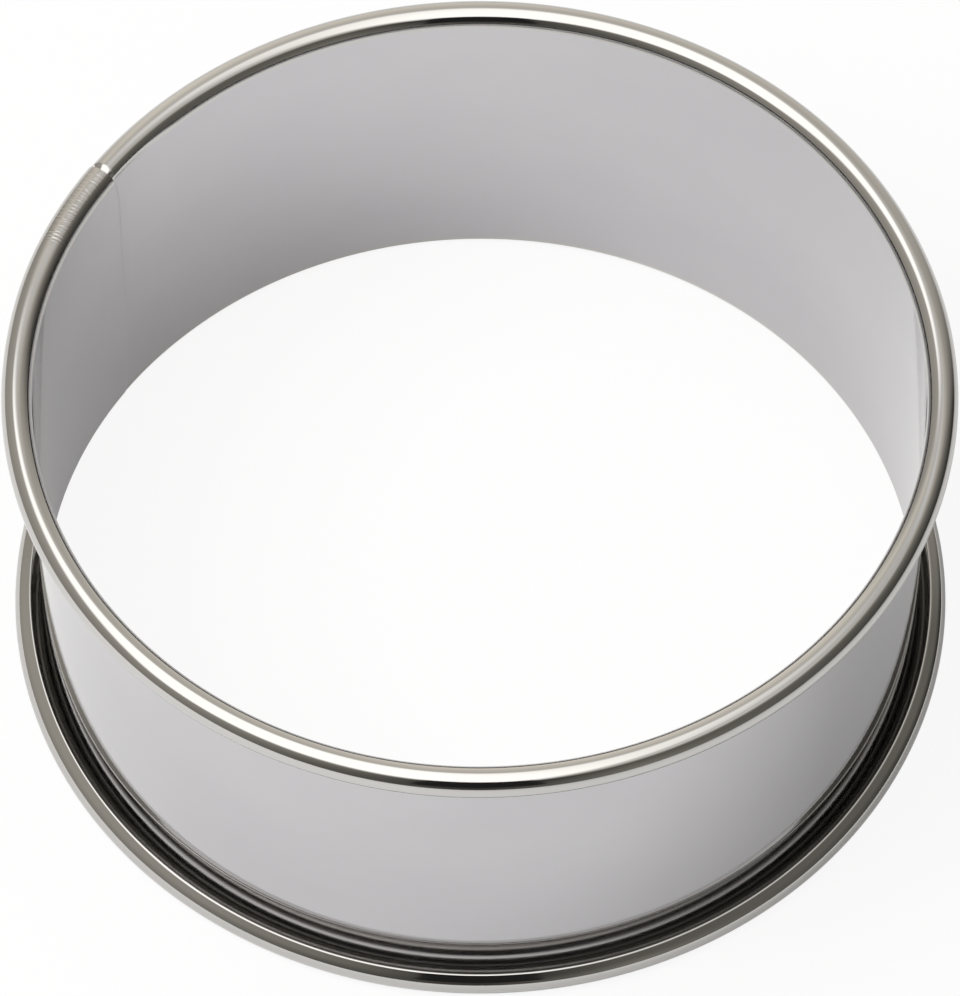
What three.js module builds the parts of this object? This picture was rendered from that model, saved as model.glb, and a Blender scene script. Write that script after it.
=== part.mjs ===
// Cake ring: a strip of thin bright sheet bent into a hoop, with lapped ends and both edges rolled outward.
// Millimetres, +Z up. The origin is on the hoop's axis, in the plane that the lower rim stands on.
import * as THREE from 'three';

const { degToRad, smoothstep } = THREE.MathUtils;

// Driving dimensions of the hoop
const openingDiameter = 90;
const overallHeight = 40.3;
const sheetThickness = 0.25;

// Rolled rims: the outside radius of the curl, and how far round the sheet is turned in it
const rollRadius = 1.55;
const rollTurn = degToRad(255);

// Lap of the strip's two ends, with lengths along the wall
const lapAzimuth = degToRad(145.2);
const lapLength = 23.5;
const lapClearance = 0.05;
const tongueRamp = 1.5;
const sleeveSetback = 1.2;
const sleeveMargin = 1;

// Facets: along the hoop, along the lap, and round a curl
const hoopFacet = degToRad(4);
const lapFacet = degToRad(2);
const rollFacet = degToRad(22.5);

// Places that follow from the dimensions
const wallRadius = openingDiameter / 2;
const rollCentreRadius = wallRadius + rollRadius;
const layerShift = sheetThickness + lapClearance;

// The two rims: the height of the roll's centre, and the way in which the sheet goes over it
const topRim = { centreHeight: overallHeight - rollRadius, over: 1 };
const bottomRim = { centreHeight: rollRadius, over: -1 };

// Angles round the axis at which the pieces meet
const tongueStart = lapAzimuth - tongueRamp / wallRadius;
const tongueEnd = lapAzimuth + lapLength / wallRadius;
const sleeveStart = lapAzimuth + sleeveSetback / wallRadius;
const sleeveEnd = tongueEnd + sleeveMargin / wallRadius;
const hoopEnd = tongueStart + 2 * Math.PI;

// A corner of the sheet's section, as height and radius from the axis
function corner(height, radius) {
  return new THREE.Vector2(height, radius);
}

// A point on one face of a curl. The flats of the facets touch the true circle, so the curl keeps its size.
function onRoll(rim, faceRadius, angle) {
  const flat = Math.round(angle / rollFacet) * rollFacet;
  const reach = faceRadius / Math.cos(angle - flat);
  const height = rim.centreHeight + rim.over * reach * Math.sin(angle);
  return corner(height, rollCentreRadius + reach * Math.cos(angle));
}

// One face of a curl, from the wall over the crest to the free edge
function rollFace(rim, faceRadius) {
  const freeEdge = Math.PI - rollTurn;
  const points = [onRoll(rim, faceRadius, Math.PI)];
  for (let angle = Math.PI - rollFacet / 2; angle > freeEdge; angle -= rollFacet) {
    points.push(onRoll(rim, faceRadius, angle));
  }
  points.push(onRoll(rim, faceRadius, freeEdge));
  return points;
}

// A curl's section: a hollow roll of one sheet that starts at the wall and stays open towards it
function rollSection(rim) {
  const outside = rollFace(rim, rollRadius);
  const inside = rollFace(rim, rollRadius - sheetThickness);
  return [...outside, ...inside.reverse()];
}

// The wall's section, between the two curls
function wallSection() {
  const outerRadius = wallRadius + sheetThickness;
  return [
    corner(bottomRim.centreHeight, wallRadius),
    corner(bottomRim.centreHeight, outerRadius),
    corner(topRim.centreHeight, outerRadius),
    corner(topRim.centreHeight, wallRadius),
  ];
}

// Runs a section straight along the arc's angle: x is height, y is radius and z is the angle from the start
function extrudeSection(section, start, end, facet) {
  const depth = end - start;
  const steps = Math.ceil(depth / facet);
  return new THREE.ExtrudeGeometry(new THREE.Shape(section), { depth, steps, bevelEnabled: false });
}

// Moves every point of a run by a rule
function reshape(geometry, rule) {
  const position = geometry.attributes.position;
  const point = new THREE.Vector3();
  for (let i = 0; i < position.count; i += 1) {
    point.fromBufferAttribute(position, i);
    rule(point);
    position.setXYZ(i, point.x, point.y, point.z);
  }
}

// How far a tucked end is set off, at an angle from its start
function tongueShift(angle) {
  return layerShift * smoothstep(angle, 0, lapAzimuth - tongueStart);
}

// Sets the wall's tucked end out, behind the tab
function setOut(point) {
  point.y += tongueShift(point.z);
}

// Draws a curl's tucked end in, towards the middle of the roll, so that it lies inside the sleeve
function drawIn(point, rim) {
  const offset = new THREE.Vector2(point.x - rim.centreHeight, point.y - rollCentreRadius);
  offset.setLength(offset.length() - tongueShift(point.z));
  point.x = rim.centreHeight + offset.x;
  point.y = rollCentreRadius + offset.y;
}

// Bends a straight run round the hoop's axis, so that it starts at the given angle
function bendRound(geometry, start) {
  reshape(geometry, (point) => {
    const angle = start + point.z;
    point.set(point.y * Math.cos(angle), point.y * Math.sin(angle), point.x);
  });
  geometry.computeVertexNormals();
  return geometry;
}

const brightSheet = new THREE.MeshStandardMaterial({ color: 0xc8c7ca, metalness: 1, roughness: 0.16 });
const rolledSheet = new THREE.MeshStandardMaterial({ color: 0xcbc8c4, metalness: 1, roughness: 0.12 });
const crimpedSheet = new THREE.MeshStandardMaterial({ color: 0xc4c0ba, metalness: 1, roughness: 0.28 });

function namedMesh(name, geometry, material) {
  const mesh = new THREE.Mesh(geometry, material);
  mesh.name = name;
  return mesh;
}

// The three lengths of the wall: the band, the tab inside the lap and the tongue behind it
function wallPieces() {
  const section = wallSection();
  const band = extrudeSection(section, sleeveEnd, hoopEnd, hoopFacet);
  const tab = extrudeSection(section, lapAzimuth, sleeveEnd, lapFacet);
  const tongue = extrudeSection(section, tongueStart, tongueEnd, lapFacet);
  reshape(tongue, setOut);
  return [
    namedMesh('wall_band', bendRound(band, sleeveEnd), brightSheet),
    namedMesh('lap_tab', bendRound(tab, lapAzimuth), brightSheet),
    namedMesh('lap_tongue', bendRound(tongue, tongueStart), brightSheet),
  ];
}

// The three lengths of a rolled rim: the rim, the sleeve over the lap and the tongue inside it
function rimPieces(side, rim) {
  const section = rollSection(rim);
  const hoop = extrudeSection(section, sleeveEnd, hoopEnd, hoopFacet);
  const sleeve = extrudeSection(section, sleeveStart, sleeveEnd, lapFacet);
  const tongue = extrudeSection(section, tongueStart, tongueEnd, lapFacet);
  reshape(tongue, (point) => drawIn(point, rim));
  return [
    namedMesh(`${side}_rolled_rim`, bendRound(hoop, sleeveEnd), rolledSheet),
    namedMesh(`${side}_rim_sleeve`, bendRound(sleeve, sleeveStart), crimpedSheet),
    namedMesh(`${side}_rim_tongue`, bendRound(tongue, tongueStart), rolledSheet),
  ];
}

const cakeRing = new THREE.Group();
cakeRing.name = 'cake_ring';
cakeRing.add(...wallPieces());
cakeRing.add(...rimPieces('top', topRim));
cakeRing.add(...rimPieces('bottom', bottomRim));

export default cakeRing;
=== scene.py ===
"""Cake ring: the sheet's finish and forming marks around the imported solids, seen as in the photograph."""

import math

import bpy
import numpy as np
from mathutils import Matrix, Vector


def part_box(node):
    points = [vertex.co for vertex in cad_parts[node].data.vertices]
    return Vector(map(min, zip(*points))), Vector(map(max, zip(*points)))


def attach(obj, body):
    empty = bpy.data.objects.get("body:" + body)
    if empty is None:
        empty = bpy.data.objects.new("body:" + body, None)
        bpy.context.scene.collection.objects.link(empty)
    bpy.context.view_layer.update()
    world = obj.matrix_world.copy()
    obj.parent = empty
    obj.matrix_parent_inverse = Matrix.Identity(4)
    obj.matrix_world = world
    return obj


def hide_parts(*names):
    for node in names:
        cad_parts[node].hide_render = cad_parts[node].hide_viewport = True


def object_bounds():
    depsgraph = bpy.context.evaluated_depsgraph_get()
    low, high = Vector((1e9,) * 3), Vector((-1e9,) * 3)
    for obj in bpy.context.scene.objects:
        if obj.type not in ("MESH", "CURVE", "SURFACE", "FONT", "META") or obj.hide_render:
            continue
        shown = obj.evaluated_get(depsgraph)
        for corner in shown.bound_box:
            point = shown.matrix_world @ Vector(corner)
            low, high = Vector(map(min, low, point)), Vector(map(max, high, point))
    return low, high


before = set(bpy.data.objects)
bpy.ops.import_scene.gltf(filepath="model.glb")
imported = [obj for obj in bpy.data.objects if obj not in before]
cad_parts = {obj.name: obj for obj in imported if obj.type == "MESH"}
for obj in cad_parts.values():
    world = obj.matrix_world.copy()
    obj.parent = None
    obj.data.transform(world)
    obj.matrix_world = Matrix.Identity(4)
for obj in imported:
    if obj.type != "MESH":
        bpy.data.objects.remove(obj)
cad_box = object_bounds()

MM = 0.001
DEGREE = math.pi / 180

# Sizes read from the solids, in metres
HEIGHT = cad_box[1].z
OUTER_RADIUS = min(abs(reach) for corner in cad_box for reach in corner.xy)
ROLL_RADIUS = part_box("wall_band")[0].z
ROLL_CENTRE = OUTER_RADIUS - ROLL_RADIUS
WALL_RADIUS = ROLL_CENTRE - ROLL_RADIUS
WALL_HEIGHT = HEIGHT - 2 * ROLL_RADIUS

# The sheet, and the lap with angles from +X towards +Y and lengths along the wall, as in the solids
SHEET = 0.25 * MM
LAP_ANGLE = 145.2 * DEGREE
LAP_LENGTH = 23.5 * MM
LAP_CLEARANCE = 0.05 * MM
LAYER_SHIFT = SHEET + LAP_CLEARANCE
TONGUE_LEAD = 1.5 * MM
SLEEVE_MARGIN = 1.0 * MM

# The sleeve starts a little before its solid, as in the photograph
SLEEVE_SETBACK = 0.75 * MM

# Angles at which the pieces meet
TONGUE_START = LAP_ANGLE - TONGUE_LEAD / WALL_RADIUS
TONGUE_END = LAP_ANGLE + LAP_LENGTH / WALL_RADIUS
SLEEVE_START = LAP_ANGLE + SLEEVE_SETBACK / WALL_RADIUS
SLEEVE_END = TONGUE_END + SLEEVE_MARGIN / WALL_RADIUS
HOOP_END = TONGUE_START + 2 * math.pi

# The curls' free edges: the angle past a curl's outermost line at which the roll ends, and a straight end
ROLL_END_AT_SIDES = 62 * DEGREE
ROLL_END_AT_FRONT = 50 * DEGREE
STRAIGHT_AT_SIDES = 0.67 * MM
STRAIGHT_AT_FRONT = 0.41 * MM

# The tucked ends of the curls: cut shorter, and clipped between two shares of the way round
TONGUE_CUT = 30 * DEGREE
TONGUE_CLIP = 6 * MM
CLIP_FROM = 0.35
CLIP_TO = 0.5

# The rounded corners of the lap's inner end: their height on the tab, their share of the sleeve's setback
# there, the power of their curve, and their share of the way round the sleeve
CORNER_HEIGHT = 4.2 * MM
CORNER_SHARE = 0.75
CORNER_BEND = 1.6
SLEEVE_CORNER = 0.25

# How the ends are set off into the lap, with the crease between the two draw-ins of a rim
WALL_RAMP = 10 * MM
RIM_RAMP = 0.75 * MM
OUTER_RAMP = 0.2 * MM
CREASE_ANGLE = 45 * DEGREE
CREASE_WIDTH = 5 * DEGREE
FOOT_ANGLE = 140 * DEGREE

# Swell of the sleeves over the tucked ends
SWELL = 0.14 * MM
SWELL_TAPER = 158 * DEGREE

# Ripples across the sleeves: waves with their length and height in millimetres, which sway and wander
RIPPLE_END = 159.5 * DEGREE
RIPPLE_FADE = 1.5 * DEGREE
RIPPLE_WAVES = ((0.23, 0.0010), (0.37, 0.0015), (0.61, 0.0020))
SWAY_SIZE = 0.05
SWAY_ROUND = 3
SWAY_ALONG = 40
WANDER_SIZE = 1.8
WANDER_ROUND = 2
WANDER_ALONG = 1.3

# Broader bars at the ripples' end, with their spacing and depth in millimetres
BARS_START = 156 * DEGREE
BAR_SPACING = 0.42
BAR_DEPTH = 0.0035

# Fineness of the meshes
HOOP_STEP = 0.8 * DEGREE
LAP_STEP = 0.4 * DEGREE
RAMP_STEP = 0.06 * DEGREE
RIPPLE_STEP = 0.05 * MM / ROLL_CENTRE
ROLL_STEPS = 84
WALL_STEPS = 44
EDGE_STEPS = 10
SHARP_ANGLE = 40 * DEGREE

# How far the sheet's edges bulge, in half thicknesses: cut square, rounded off and drawn out by the rolling
CUT_BULGE = 0.15
TAB_BULGE = 1.0
LIP_BULGE = 2.0


def smoothstep(x, low, high):
    t = np.clip((x - low) / (high - low), 0, 1)
    return t * t * (3 - 2 * t)


# Profiles of the sheet: each gives the front face's radius, height and normal, for shares v of the way along.
# The front face looks into the hoop and is the outside of the curls.

def wall_profile(angle, v):
    """The upright wall, from the lower curl to the upper one."""
    height = ROLL_RADIUS + v * WALL_HEIGHT
    return np.full_like(v, WALL_RADIUS), height, np.full_like(v, -1), np.zeros_like(v)


def roll_end(angle):
    """Where the roll ends, and the length of the sheet's straight end after it."""
    sideways = (1 + np.cos(2 * angle)) / 2
    turn = ROLL_END_AT_FRONT + (ROLL_END_AT_SIDES - ROLL_END_AT_FRONT) * sideways
    return turn, STRAIGHT_AT_FRONT + (STRAIGHT_AT_SIDES - STRAIGHT_AT_FRONT) * sideways


def tongue_roll_end(angle):
    """Inside the sleeve the tucked end is cut shorter, and round to its edge."""
    turn, straight_end = roll_end(angle)
    tucked = smoothstep(angle, LAP_ANGLE, SLEEVE_START)
    return turn - TONGUE_CUT * tucked, straight_end * (1 - tucked)


def curl_profile(free_edge):
    """The upper curl, from the wall over the crest to its free edge."""
    def profile(angle, v):
        last_turn, straight_end = free_edge(angle)
        along = v * ((math.pi + last_turn) * ROLL_RADIUS + straight_end)
        turn = np.maximum(math.pi - along / ROLL_RADIUS, -last_turn)
        past = along - (math.pi - turn) * ROLL_RADIUS
        c, s = np.cos(turn), np.sin(turn)
        radius = ROLL_CENTRE + ROLL_RADIUS * c + past * s
        height = HEIGHT - ROLL_RADIUS + ROLL_RADIUS * s - past * c
        return radius, height, c, s
    return profile


# Lifts: how far the front face is moved along its normal

def no_lift(angle, turn):
    return np.zeros_like(angle)


def before_lap(angle):
    """The hoop's pieces run on from the sleeve past a full turn, up to the lap."""
    return np.where(angle < SLEEVE_END, angle, angle - 2 * math.pi)


def wall_lift(angle, turn):
    """The wall's outer end is set out behind the tab."""
    return -LAYER_SHIFT * smoothstep(before_lap(angle), LAP_ANGLE - WALL_RAMP / WALL_RADIUS, LAP_ANGLE)


def rim_lift(angle, turn):
    """The tucked end is drawn in just before the sleeve, later on the outside, with a crease between.
    At its foot it follows the wall."""
    inside = smoothstep(turn, CREASE_ANGLE - CREASE_WIDTH / 2, CREASE_ANGLE + CREASE_WIDTH / 2)
    ramp = OUTER_RAMP + (RIM_RAMP - OUTER_RAMP) * inside
    share = 1 + (before_lap(angle) - SLEEVE_START) * ROLL_CENTRE / ramp
    drawn = -LAYER_SHIFT * np.clip(share, 0, 1) ** 2
    foot = smoothstep(turn, FOOT_ANGLE, math.pi)
    return drawn + foot * (wall_lift(angle, turn) - drawn)


def ripples(angle, turn):
    """Fine uneven cross ripples on the crimped length of a sleeve, with a few broader bars at their end."""
    sway = SWAY_SIZE * np.sin(SWAY_ROUND * turn + SWAY_ALONG * angle)
    along = (angle - SLEEVE_START) * ROLL_CENTRE / MM + sway
    depth = np.zeros_like(angle)
    for length, height in RIPPLE_WAVES:
        wander = np.sin(WANDER_ALONG * along / length ** 0.5 + WANDER_ROUND * turn)
        depth += height * (1 + np.sin(2 * math.pi * along / length + WANDER_SIZE * wander))
    bars = smoothstep(angle, BARS_START, BARS_START + RIPPLE_FADE)
    depth += bars * BAR_DEPTH * (1 + np.sin(2 * math.pi * along / BAR_SPACING))
    return -MM * depth * (1 - smoothstep(angle, RIPPLE_END - RIPPLE_FADE, RIPPLE_END))


def sleeve_lift(angle, turn):
    """The sleeve is rippled, and pushed outward by the end that is tucked into it."""
    taper = 1 - smoothstep(angle, SWELL_TAPER, SLEEVE_END)
    return ripples(angle, turn) + SWELL * taper * np.maximum(np.cos(turn), 0) ** 2


# Where a length of the sheet starts and ends: the lap's inner end has rounded corners at the rims

def straight(angle):
    return lambda v: np.full_like(v, angle)


def tab_start(v):
    below_rim = np.minimum(v, 1 - v) * WALL_HEIGHT
    share = np.clip(1 - below_rim / CORNER_HEIGHT, 0, 1) ** CORNER_BEND
    return LAP_ANGLE + share * CORNER_SHARE * SLEEVE_SETBACK / WALL_RADIUS


def sleeve_start(v):
    share = CORNER_SHARE + (1 - CORNER_SHARE) * smoothstep(v, 0, SLEEVE_CORNER)
    return LAP_ANGLE + share * SLEEVE_SETBACK / WALL_RADIUS


def tongue_end(v):
    """The curl's tucked end is clipped next to the wall."""
    return TONGUE_END - (1 - smoothstep(v, CLIP_FROM, CLIP_TO)) * TONGUE_CLIP / ROLL_CENTRE


def stations(start, end, step):
    """Shares from 0 to 1 of the way along a length of the sheet."""
    return np.linspace(0, 1, math.ceil((end - start) / step) + 1)


def two_part_stations(start, middle, end, first_step, last_step):
    """Shares along a length of the sheet whose two parts have steps of their own."""
    first_part = (middle - start) / (end - start)
    first = stations(start, middle, first_step) * first_part
    last = first_part + stations(middle, end, last_step) * (1 - first_part)
    return np.concatenate([first, last[1:]])


# Meshes of the sheet

def sheet_faces(profile, start, end, shares, steps, lift, upside_down):
    """Front and back points of a length of sheet, by stations and profile steps, and their UVs in metres."""
    v = np.linspace(0, 1, steps + 1)
    if upside_down:
        v = v[::-1]
    v = np.tile(v, (len(shares), 1))
    first = start(v)
    angle = first + shares[:, None] * (end(v) - first)
    radius, height, normal_r, normal_z = profile(angle, v)
    raised = lift(angle, np.arctan2(normal_z, normal_r))

    def points(depth):
        point_radius = radius + (raised - depth) * normal_r
        point_height = height + (raised - depth) * normal_z
        if upside_down:
            point_height = HEIGHT - point_height
        return np.stack([point_radius * np.cos(angle), point_radius * np.sin(angle), point_height], -1)

    length = np.hypot(np.diff(radius[0]), np.diff(height[0])).sum()
    uv = np.stack([angle * ROLL_CENTRE, v * length], -1)
    return points(0), points(SHEET), uv


def border(rows, columns):
    """The grid's border as (row, column) pairs, once round."""
    loop = [(i, 0) for i in range(rows)]
    loop += [(rows - 1, j) for j in range(1, columns)]
    loop += [(i, columns - 1) for i in range(rows - 2, -1, -1)]
    loop += [(0, j) for j in range(columns - 2, 0, -1)]
    return loop


def outward(points, i, j, free):
    """Which way and how far, in half thicknesses, the sheet bulges at a point of its border."""
    rows, columns = points.shape[:2]
    total = np.zeros(3)
    neighbours = {
        "start": (i == 0, (1, j)),
        "end": (i == rows - 1, (rows - 2, j)),
        "low": (j == 0, (i, 1)),
        "high": (j == columns - 1, (i, columns - 2)),
    }
    for side, (here, inner) in neighbours.items():
        if here and side in free:
            step = points[i, j] - points[inner]
            total += free[side] * step / np.linalg.norm(step)
    return total


def sheet_mesh(name, front, back, uv, free):
    """A closed mesh of a length of sheet: two faces, and a border strip that bulges where an edge is free."""
    rows, columns = front.shape[:2]
    count = rows * columns
    loop = border(rows, columns)
    points = [front.reshape(-1, 3), back.reshape(-1, 3)]
    uvs = [uv.reshape(-1, 2), uv.reshape(-1, 2)]
    rings = [[i * columns + j for i, j in loop]]
    for k in range(1, EDGE_STEPS):
        turn = math.pi * k / EDGE_STEPS
        ring = []
        for i, j in loop:
            middle = (front[i, j] + back[i, j]) / 2
            half = (front[i, j] - back[i, j]) / 2
            bulge = outward(front, i, j, free) * SHEET / 2
            ring.append(middle + half * math.cos(turn) + bulge * math.sin(turn))
        first = 2 * count + (k - 1) * len(loop)
        rings.append(list(range(first, first + len(loop))))
        points.append(np.array(ring))
        uvs.append(np.array([uv[i, j] for i, j in loop]))
    rings.append([count + i * columns + j for i, j in loop])
    faces = []
    for i in range(rows - 1):
        for j in range(columns - 1):
            a, b = i * columns + j, (i + 1) * columns + j
            faces.append((a, a + 1, b + 1, b))
            faces.append((count + a, count + b, count + b + 1, count + a + 1))
    for lower, upper in zip(rings, rings[1:]):
        for k in range(len(loop)):
            following = (k + 1) % len(loop)
            faces.append((lower[k], lower[following], upper[following], upper[k]))
    mesh = bpy.data.meshes.new(name)
    mesh.from_pydata(np.concatenate(points).tolist(), [], faces)
    mesh.polygons.foreach_set("use_smooth", [True] * len(mesh.polygons))
    mesh.set_sharp_from_angle(angle=SHARP_ANGLE)
    layer = mesh.uv_layers.new(name="along_and_across")
    corners = np.zeros(len(mesh.loops), int)
    mesh.loops.foreach_get("vertex_index", corners)
    layer.data.foreach_set("uv", np.concatenate(uvs)[corners].astype(np.float32).ravel())
    inside = mesh.attributes.new("inside", "FLOAT", "POINT")
    inside.data.foreach_set("value", (np.arange(len(mesh.vertices)) // count == 1).astype(np.float32))
    mesh.validate()
    return mesh


def sheet_piece(node, material, profile, start, end, shares, steps,
                lift=no_lift, free=(), upside_down=False):
    """One length of the sheet, in place of its solid. Each free edge has a bulge."""
    front, back, uv = sheet_faces(profile, start, end, shares, steps, lift, upside_down)
    piece = bpy.data.objects.new(node + "_sheet", sheet_mesh(node + "_sheet", front, back, uv, free))
    bpy.context.scene.collection.objects.link(piece)
    piece.data.materials.append(material)
    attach(piece, "root")
    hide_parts(node)


# Materials, with noise scales along and across the strip, per millimetre

NOISE_LOW = 0.3
NOISE_HIGH = 0.7
BLOTCH_SCALE = (0.04, 0.07)
BLOTCH_DETAIL = 3
POLISH_SCALE = (0.15, 0.9)
POLISH_DETAIL = 4
GRAIN_DETAIL = 2

# How much rougher the insides of the curls are
CURL_DULL = 0.13


def node_setup(material):
    material.use_nodes = True
    nodes = material.node_tree.nodes
    links = material.node_tree.links
    return nodes, links, nodes["Principled BSDF"]


def stretched_noise(nodes, links, scale, detail):
    """Noise in the sheet's own coordinates, drawn out along the strip or across it by the scale."""
    uv = nodes.new("ShaderNodeUVMap")
    uv.uv_map = "along_and_across"
    mapping = nodes.new("ShaderNodeMapping")
    mapping.inputs["Scale"].default_value = (scale[0] / MM, scale[1] / MM, 1)
    noise = nodes.new("ShaderNodeTexNoise")
    noise.inputs["Scale"].default_value = 1
    noise.inputs["Detail"].default_value = detail
    links.new(uv.outputs["UV"], mapping.inputs["Vector"])
    links.new(mapping.outputs["Vector"], noise.inputs["Vector"])
    return noise.outputs["Fac"]


def ranged(nodes, links, value, low, high):
    """Noise spread over a range of values."""
    span = nodes.new("ShaderNodeMapRange")
    span.inputs["From Min"].default_value = NOISE_LOW
    span.inputs["From Max"].default_value = NOISE_HIGH
    span.inputs["To Min"].default_value = low
    span.inputs["To Max"].default_value = high
    links.new(value, span.inputs["Value"])
    return span.outputs["Result"]


def steel(name, dark, light, roughness, grain, bump, dull=0):
    """Bright sheet: blotchy tone, patchy polish, fine lines from the grain and a duller back."""
    material = bpy.data.materials.new(name)
    nodes, links, shader = node_setup(material)
    shader.inputs["Metallic"].default_value = 1
    blotches = stretched_noise(nodes, links, BLOTCH_SCALE, BLOTCH_DETAIL)
    tone = nodes.new("ShaderNodeMix")
    tone.data_type = "RGBA"
    tone.inputs["A"].default_value = (*dark, 1)
    tone.inputs["B"].default_value = (*light, 1)
    links.new(ranged(nodes, links, blotches, 0, 1), tone.inputs["Factor"])
    links.new(tone.outputs["Result"], shader.inputs["Base Color"])
    polish = stretched_noise(nodes, links, POLISH_SCALE, POLISH_DETAIL)
    back = nodes.new("ShaderNodeAttribute")
    back.attribute_name = "inside"
    rough = nodes.new("ShaderNodeMath")
    rough.operation = "MULTIPLY_ADD"
    rough.inputs[1].default_value = dull
    links.new(back.outputs["Fac"], rough.inputs[0])
    links.new(ranged(nodes, links, polish, *roughness), rough.inputs[2])
    links.new(rough.outputs[0], shader.inputs["Roughness"])
    lines = stretched_noise(nodes, links, grain, GRAIN_DETAIL)
    relief = nodes.new("ShaderNodeBump")
    relief.inputs["Distance"].default_value = bump
    links.new(lines, relief.inputs["Height"])
    links.new(relief.outputs["Normal"], shader.inputs["Normal"])
    return material


bright_sheet = steel(
    "bright_sheet",
    dark=(0.565, 0.558, 0.575),
    light=(0.59, 0.583, 0.598),
    roughness=(0.04, 0.07),
    grain=(0.3, 6),
    bump=0.0001 * MM,
)
rolled_rim = steel(
    "rolled_rim",
    dark=(0.57, 0.56, 0.54),
    light=(0.6, 0.588, 0.57),
    roughness=(0.06, 0.1),
    grain=(0.2, 5),
    bump=0.00003 * MM,
    dull=CURL_DULL,
)
crimped_sleeve = steel(
    "crimped_sleeve",
    dark=(0.54, 0.525, 0.5),
    light=(0.59, 0.575, 0.555),
    roughness=(0.1, 0.18),
    grain=(5, 0.6),
    bump=0.001 * MM,
    dull=CURL_DULL,
)


# The ring's pieces

hoop = stations(SLEEVE_END, HOOP_END, HOOP_STEP)
lap = stations(LAP_ANGLE, SLEEVE_END, LAP_STEP)
tongue = two_part_stations(TONGUE_START, SLEEVE_START, TONGUE_END, RAMP_STEP, LAP_STEP)
sleeve = two_part_stations(SLEEVE_START, RIPPLE_END, SLEEVE_END, RIPPLE_STEP, LAP_STEP)

sheet_piece("wall_band", bright_sheet, wall_profile,
            straight(SLEEVE_END), straight(HOOP_END), hoop, WALL_STEPS, lift=wall_lift)
sheet_piece("lap_tab", bright_sheet, wall_profile,
            tab_start, straight(SLEEVE_END), lap, WALL_STEPS, free={"start": TAB_BULGE})
sheet_piece("lap_tongue", bright_sheet, wall_profile,
            straight(TONGUE_START), straight(TONGUE_END), tongue, WALL_STEPS,
            lift=wall_lift, free={"end": CUT_BULGE})
for side, upside_down in (("top", False), ("bottom", True)):
    edge = "low" if upside_down else "high"
    sheet_piece(side + "_rolled_rim", rolled_rim, curl_profile(roll_end),
                straight(SLEEVE_END), straight(HOOP_END), hoop, ROLL_STEPS,
                lift=rim_lift, free={edge: LIP_BULGE}, upside_down=upside_down)
    sheet_piece(side + "_rim_sleeve", crimped_sleeve, curl_profile(roll_end),
                sleeve_start, straight(SLEEVE_END), sleeve, ROLL_STEPS,
                lift=sleeve_lift, free={edge: LIP_BULGE, "start": CUT_BULGE}, upside_down=upside_down)
    sheet_piece(side + "_rim_tongue", rolled_rim, curl_profile(tongue_roll_end),
                straight(TONGUE_START), tongue_end, tongue, ROLL_STEPS,
                lift=rim_lift, free={edge: LIP_BULGE, "end": CUT_BULGE}, upside_down=upside_down)


# Camera at the photograph's viewing angle, with small angles in radians and the lens in millimetres

CAMERA_ELEVATION = 56.32 * DEGREE
CAMERA_TURN = 0.47 * DEGREE
CAMERA_DISTANCE = 1080.8 * MM
CAMERA_TILT = -5.2e-4
CAMERA_ROLL = -3.4e-3
CAMERA_REACH = 20
LENS = 383.27


def add_camera():
    round_axis = Matrix.Rotation(CAMERA_TURN, 3, "Z")
    forward = round_axis @ Vector((0, math.cos(CAMERA_ELEVATION), -math.sin(CAMERA_ELEVATION)))
    right = round_axis @ Vector((1, 0, 0))
    up = right.cross(forward)
    data = bpy.data.cameras.new("camera")
    data.lens = LENS
    data.clip_end = CAMERA_REACH
    camera = bpy.data.objects.new("camera", data)
    bpy.context.scene.collection.objects.link(camera)
    look = (forward + up * math.tan(CAMERA_TILT)).normalized()
    up = right.cross(look)
    axes = Matrix((right, up, -look)).transposed()
    place = Vector((0, 0, HEIGHT / 2)) - forward * CAMERA_DISTANCE
    turn = Matrix.Rotation(CAMERA_ROLL, 3, "Z")
    camera.matrix_world = Matrix.Translation(place) @ (axes @ turn).to_4x4()
    bpy.context.scene.camera = camera


add_camera()


# Studio: a white floor and surround, a softbox overhead, a lamp from the left, a glowing curtain that paints
# the room's light and shade into reflections, and a dark card that paints shade into them

FLOOR_SIZE = 6.0
FLOOR_TONE = 0.9
FLOOR_ROUGHNESS = 0.9
FLOOR_SEEN_WHITE = 0.9
FLOOR_REFLECTED_WHITE = 0.1

SURROUND_LIGHT = 0.23
SURROUND_SEEN_WHITE = 1
SURROUND_REFLECTED_WHITE = 0.8

SOFTBOX_PLACE = (-0.12, -0.02, 0.6)
SOFTBOX_SIDE = 0.84
SOFTBOX_YAW = -25 * DEGREE
SOFTBOX_TINT = (1, 0.985, 0.965)
SOFTBOX_RADIANCE = 1.8
SOFTBOX_EDGE = 0.13
SOFTBOX_EDGE_RADIANCE = 0.7

# The softbox's back right corner fades between these sums of its two coordinates
SOFTBOX_CORNER_BORDER = 0.65
SOFTBOX_CORNER_INSIDE = 0.15

LAMP_AZIMUTH = 255 * DEGREE
LAMP_ELEVATION = 56 * DEGREE
LAMP_DISTANCE = 0.75
LAMP_SIDE = 0.4
LAMP_RADIANCE = 5.5

# A dark card that paints shade into the metal's reflections of the front
CARD_DISTANCE = 0.35
CARD_WIDTH = 0.15
CARD_LOW = 0.12
CARD_HIGH = 0.5
CARD_PAINTED_SHADE = 0.02
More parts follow.
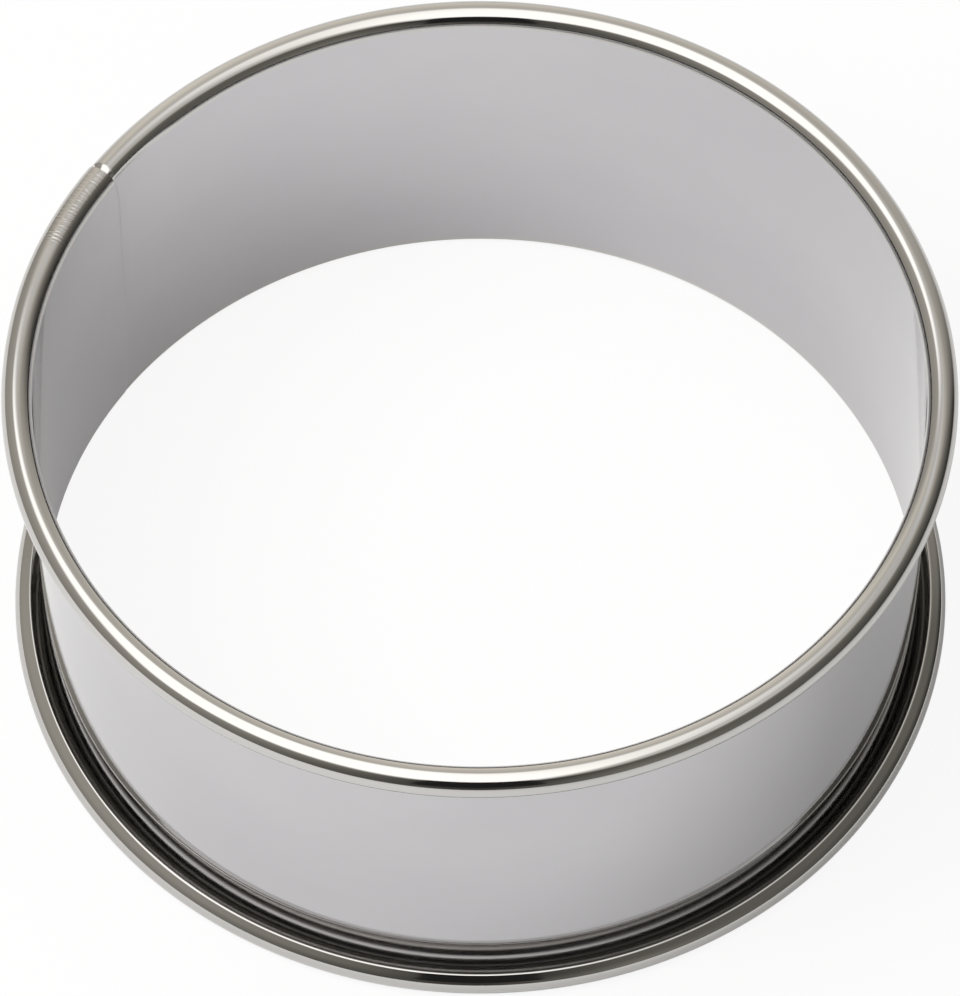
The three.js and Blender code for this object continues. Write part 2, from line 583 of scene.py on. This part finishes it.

# The curtain's painted light and shade of the room near the floor and higher up, by azimuth in degrees
# clockwise from the back
CURTAIN_RADIUS = 0.8
CURTAIN_SIDES = 72
CURTAIN_TOP = 1.2
CURTAIN_LOW = 0.14
CURTAIN_HIGH = 0.8
# Painted light of the room near the curtain's top
CURTAIN_TOP_LIGHT = 0.7
CURTAIN_TINT = (1, 0.95, 0.86)
CURTAIN_LIGHT_AND_SHADE = (
    (-180, 0.06, 0.0),
    (-150, 0.14, 0.25),
    (-120, 0.30, 0.42),
    (-60, 0.42, 0.52),
    (-38, 0.40, 0.52),
    (-22, 1.00, 0.85),
    (0, 0.93, 0.70),
    (30, 0.70, 0.50),
    (60, 0.05, 0.33),
    (90, 0.08, 0.20),
    (120, 0.15, 0.17),
    (150, 0.25, 0.12),
    (180, 0.06, 0.0),
)


def white_mix(nodes, links, camera_share, reflected_share):
    """How much of the plain white is seen by the camera, and by reflections and refractions."""
    path = nodes.new("ShaderNodeLightPath")
    seen = nodes.new("ShaderNodeMath")
    seen.operation = "MULTIPLY"
    seen.inputs[1].default_value = camera_share
    links.new(path.outputs["Is Camera Ray"], seen.inputs[0])
    bounced = nodes.new("ShaderNodeMath")
    bounced.operation = "MAXIMUM"
    links.new(path.outputs["Is Glossy Ray"], bounced.inputs[0])
    links.new(path.outputs["Is Transmission Ray"], bounced.inputs[1])
    both = nodes.new("ShaderNodeMath")
    both.operation = "MULTIPLY_ADD"
    both.inputs[1].default_value = reflected_share
    links.new(bounced.outputs[0], both.inputs[0])
    links.new(seen.outputs[0], both.inputs[2])
    return both.outputs[0]


def stage_mesh(name, points, faces, material):
    mesh = bpy.data.meshes.new(name)
    mesh.from_pydata(points, [], faces)
    mesh.materials.append(material)
    stage = bpy.data.objects.new(name, mesh)
    bpy.context.scene.collection.objects.link(stage)
    return stage


def square(half):
    return [(-half, -half, 0), (half, -half, 0), (half, half, 0), (-half, half, 0)]


def add_floor():
    """A white floor that keeps the ring's shadow."""
    material = bpy.data.materials.new("white_floor")
    nodes, links, shader = node_setup(material)
    shader.inputs["Base Color"].default_value = (FLOOR_TONE, FLOOR_TONE, FLOOR_TONE, 1)
    shader.inputs["Roughness"].default_value = FLOOR_ROUGHNESS
    shader.inputs["Specular IOR Level"].default_value = 0
    white = nodes.new("ShaderNodeEmission")
    mix = nodes.new("ShaderNodeMixShader")
    links.new(white_mix(nodes, links, FLOOR_SEEN_WHITE, FLOOR_REFLECTED_WHITE), mix.inputs[0])
    links.new(shader.outputs[0], mix.inputs[1])
    links.new(white.outputs[0], mix.inputs[2])
    links.new(mix.outputs[0], nodes["Material Output"].inputs["Surface"])
    stage_mesh("floor", square(FLOOR_SIZE / 2), [(0, 1, 2, 3)], material)


def add_world():
    """A white surround that lights the ring only a little."""
    world = bpy.data.worlds.new("surround")
    bpy.context.scene.world = world
    world.use_nodes = True
    nodes = world.node_tree.nodes
    links = world.node_tree.links
    light = nodes["Background"]
    light.inputs["Color"].default_value = (1, 1, 1, 1)
    light.inputs["Strength"].default_value = SURROUND_LIGHT
    white = nodes.new("ShaderNodeBackground")
    white.inputs["Color"].default_value = (1, 1, 1, 1)
    mix = nodes.new("ShaderNodeMixShader")
    links.new(white_mix(nodes, links, SURROUND_SEEN_WHITE, SURROUND_REFLECTED_WHITE), mix.inputs[0])
    links.new(light.outputs[0], mix.inputs[1])
    links.new(white.outputs[0], mix.inputs[2])
    links.new(mix.outputs[0], nodes["World Output"].inputs["Surface"])


def glow_material(name):
    """An emission material, with its nodes, links and emission for what colours it."""
    material = bpy.data.materials.new(name)
    nodes, links, shader = node_setup(material)
    nodes.remove(shader)
    glow = nodes.new("ShaderNodeEmission")
    links.new(glow.outputs[0], nodes["Material Output"].inputs["Surface"])
    return material, nodes, links, glow


def object_axes(nodes, links):
    place = nodes.new("ShaderNodeTexCoord")
    axes = nodes.new("ShaderNodeSeparateXYZ")
    links.new(place.outputs["Object"], axes.inputs[0])
    return axes


def share_between(nodes, links, coordinate, low, high):
    """Rises evenly from 0 at the low end to 1 at the high one."""
    span = nodes.new("ShaderNodeMapRange")
    span.inputs["From Min"].default_value = low
    span.inputs["From Max"].default_value = high
    links.new(coordinate, span.inputs["Value"])
    return span.outputs["Result"]


def share_inside(nodes, links, coordinate, border, inside):
    """Rises smoothly from 0 at the border to 1 at the inside of a soft edge."""
    share = share_between(nodes, links, coordinate, border, inside)
    share.node.interpolation_type = "SMOOTHSTEP"
    return share


def maths(nodes, links, operation, *values):
    node = nodes.new("ShaderNodeMath")
    node.operation = operation
    for value, socket in zip(values, node.inputs):
        links.new(value, socket)
    return node.outputs[0]


def add_softbox():
    """A soft square light overhead, darker towards its border and its back right corner."""
    material, nodes, links, glow = glow_material("softbox_glow")
    glow.inputs["Color"].default_value = (*SOFTBOX_TINT, 1)
    axes = object_axes(nodes, links)
    half = SOFTBOX_SIDE / 2
    aside = maths(nodes, links, "ABSOLUTE", axes.outputs["X"])
    sides = share_inside(nodes, links, aside, half, half - SOFTBOX_EDGE)
    along = maths(nodes, links, "ABSOLUTE", axes.outputs["Y"])
    ends = share_inside(nodes, links, along, half, half - SOFTBOX_EDGE)
    diagonal = maths(nodes, links, "ADD", axes.outputs["X"], axes.outputs["Y"])
    corner = share_inside(nodes, links, diagonal, SOFTBOX_CORNER_BORDER, SOFTBOX_CORNER_INSIDE)
    inside = maths(nodes, links, "MULTIPLY", maths(nodes, links, "MULTIPLY", sides, ends), corner)
    strength = nodes.new("ShaderNodeMapRange")
    strength.inputs["To Min"].default_value = SOFTBOX_EDGE_RADIANCE
    strength.inputs["To Max"].default_value = SOFTBOX_RADIANCE
    links.new(inside, strength.inputs["Value"])
    links.new(strength.outputs["Result"], glow.inputs["Strength"])
    softbox = stage_mesh("softbox", square(half), [(0, 3, 2, 1)], material)
    softbox.location = SOFTBOX_PLACE
    softbox.rotation_euler.z = SOFTBOX_YAW
    softbox.visible_camera = False
    softbox.visible_shadow = False


def add_lamp():
    """A lamp from the left that shades the floor, and that the metal doesn't show."""
    data = bpy.data.lights.new("lamp", "AREA")
    data.size = LAMP_SIDE
    data.energy = LAMP_RADIANCE * math.pi * LAMP_SIDE ** 2
    lamp = bpy.data.objects.new("lamp", data)
    reach = LAMP_DISTANCE * math.cos(LAMP_ELEVATION)
    height = LAMP_DISTANCE * math.sin(LAMP_ELEVATION)
    lamp.location = (reach * math.sin(LAMP_AZIMUTH), reach * math.cos(LAMP_AZIMUTH), height)
    lamp.rotation_euler = lamp.location.to_track_quat("Z", "Y").to_euler()
    lamp.visible_glossy = False
    bpy.context.scene.collection.objects.link(lamp)


def tinted(tone):
    return (*(tone * tint for tint in CURTAIN_TINT), 1)


def azimuth_ramp(nodes, links, share, tones):
    """One of the curtain's two rows of painted light and shade, as a colour by azimuth."""
    ramp = nodes.new("ShaderNodeValToRGB")
    stops = ramp.color_ramp.elements
    while len(stops) < len(tones):
        stops.new(0.5)
    for stop, (azimuth, tone) in zip(stops, tones):
        stop.position = azimuth / 360 + 0.5
        stop.color = tinted(tone)
    links.new(share, ramp.inputs["Fac"])
    return ramp.outputs["Color"]


def add_curtain():
    """A round glowing curtain that only reflections show: it paints the room's light and shade into the
    metal, and lights nothing.
    """
    material, nodes, links, glow = glow_material("curtain_glow")
    material.cycles.emission_sampling = "NONE"
    axes = object_axes(nodes, links)
    bearing = maths(nodes, links, "ARCTAN2", axes.outputs["X"], axes.outputs["Y"])
    share = share_between(nodes, links, bearing, -math.pi, math.pi)
    low_tones = [(azimuth, low) for azimuth, low, high in CURTAIN_LIGHT_AND_SHADE]
    high_tones = [(azimuth, high) for azimuth, low, high in CURTAIN_LIGHT_AND_SHADE]
    tone = nodes.new("ShaderNodeMix")
    tone.data_type = "RGBA"
    upward = share_between(nodes, links, axes.outputs["Z"], CURTAIN_LOW, CURTAIN_HIGH)
    links.new(upward, tone.inputs["Factor"])
    links.new(azimuth_ramp(nodes, links, share, low_tones), tone.inputs["A"])
    links.new(azimuth_ramp(nodes, links, share, high_tones), tone.inputs["B"])
    # The painted light fades to one plain tone towards the curtain's top
    faded = nodes.new("ShaderNodeMix")
    faded.data_type = "RGBA"
    faded.inputs["B"].default_value = tinted(CURTAIN_TOP_LIGHT)
    near_top = share_between(nodes, links, axes.outputs["Z"], CURTAIN_HIGH, CURTAIN_TOP)
    links.new(near_top, faded.inputs["Factor"])
    links.new(tone.outputs["Result"], faded.inputs["A"])
    links.new(faded.outputs["Result"], glow.inputs["Color"])
    points = []
    faces = []
    for k in range(CURTAIN_SIDES):
        turn = 2 * math.pi * k / CURTAIN_SIDES
        x, y = CURTAIN_RADIUS * math.sin(turn), CURTAIN_RADIUS * math.cos(turn)
        points += [(x, y, 0), (x, y, CURTAIN_TOP)]
        following = (k + 1) % CURTAIN_SIDES
        faces.append((2 * k, 2 * following, 2 * following + 1, 2 * k + 1))
    curtain = stage_mesh("curtain", points, faces, material)
    curtain.visible_camera = False
    curtain.visible_diffuse = False
    curtain.visible_shadow = False


def add_card():
    """A dark card in front, which only reflections show: it paints a dark band of shade into the metal's
    reflections.
    """
    material, nodes, links, glow = glow_material("painted_shade_card")
    glow.inputs["Strength"].default_value = CARD_PAINTED_SHADE
    low, high, half = CARD_LOW, CARD_HIGH, CARD_WIDTH / 2
    y = -CARD_DISTANCE
    points = [(-half, y, low), (half, y, low), (half, y, high), (-half, y, high)]
    card = stage_mesh("painted_shade_card", points, [(0, 1, 2, 3)], material)
    card.visible_camera = False
    card.visible_diffuse = False
    card.visible_shadow = False


add_floor()
add_world()
add_softbox()
add_lamp()
add_curtain()
add_card()

bpy.context.scene.view_settings.view_transform = "Standard"
